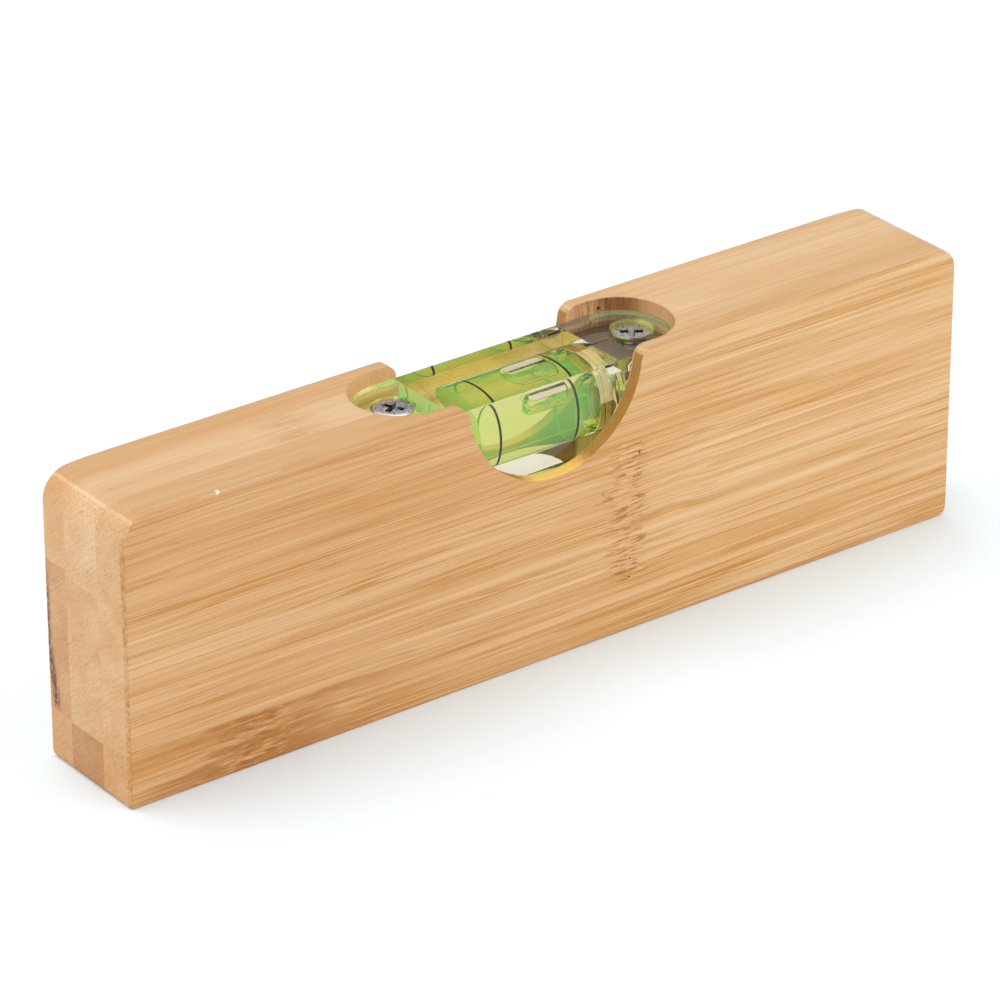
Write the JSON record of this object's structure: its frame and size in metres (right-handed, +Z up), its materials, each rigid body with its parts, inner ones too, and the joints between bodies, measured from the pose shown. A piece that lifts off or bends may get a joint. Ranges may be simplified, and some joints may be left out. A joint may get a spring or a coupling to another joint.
{
  "type": "spirit level",
  "caption": "Small wooden spirit level: laminated bamboo block with a half-round window and a screwed-in clear vial of green liquid with a sliding bubble.",
  "frame": {"origin": "middle of the underside, the working edge that rests on the surface being checked", "axes": "+X along the block and the vial, +Y to the back, +Z up towards the edge that holds the vial"},
  "size_m": [0.15, 0.02, 0.045],
  "materials": {
    "bamboo_face": "sanded, thin satin lacquer",
    "bamboo_core": "sanded, thin satin lacquer",
    "bamboo_back": "sanded, thin satin lacquer",
    "clear_acrylic": "clear, polished",
    "plug_acrylic": "clear, polished",
    "green_spirit": "clear yellow-green liquid",
    "air": "air bubble",
    "ring_ink": "black",
    "screw_steel": "bright zinc"
  },
  "bodies": {
    "level": {"front_ply_lower_strip": "bamboo_face", "front_ply_middle_strip": "bamboo_face", "front_ply_upper_strip_left": "bamboo_face", "front_ply_upper_strip_right": "bamboo_face", "core_ply_lower_strip": "bamboo_core", "core_ply_middle_strip": "bamboo_core", "core_ply_upper_strip_left": "bamboo_core", "core_ply_upper_strip_right": "bamboo_core", "rear_ply_lower_strip": "bamboo_back", "rear_ply_middle_strip": "bamboo_back", "rear_ply_upper_strip_left": "bamboo_back", "rear_ply_upper_strip_right": "bamboo_back", "vial_block": "clear_acrylic", "vial_plug": "plug_acrylic", "vial_fluid": "green_spirit", "index_ring_left": "ring_ink", "index_ring_right": "ring_ink", "screw_left": "screw_steel", "screw_right": "screw_steel"},
    "bubble": {"bubble": "air"}
  },
  "joints": [
    {"name": "bubble_travel", "type": "slide", "parent": "level", "child": "bubble", "axis": [1, 0, 0], "range_m": [-0.0088, 0.0038]}
  ]
}
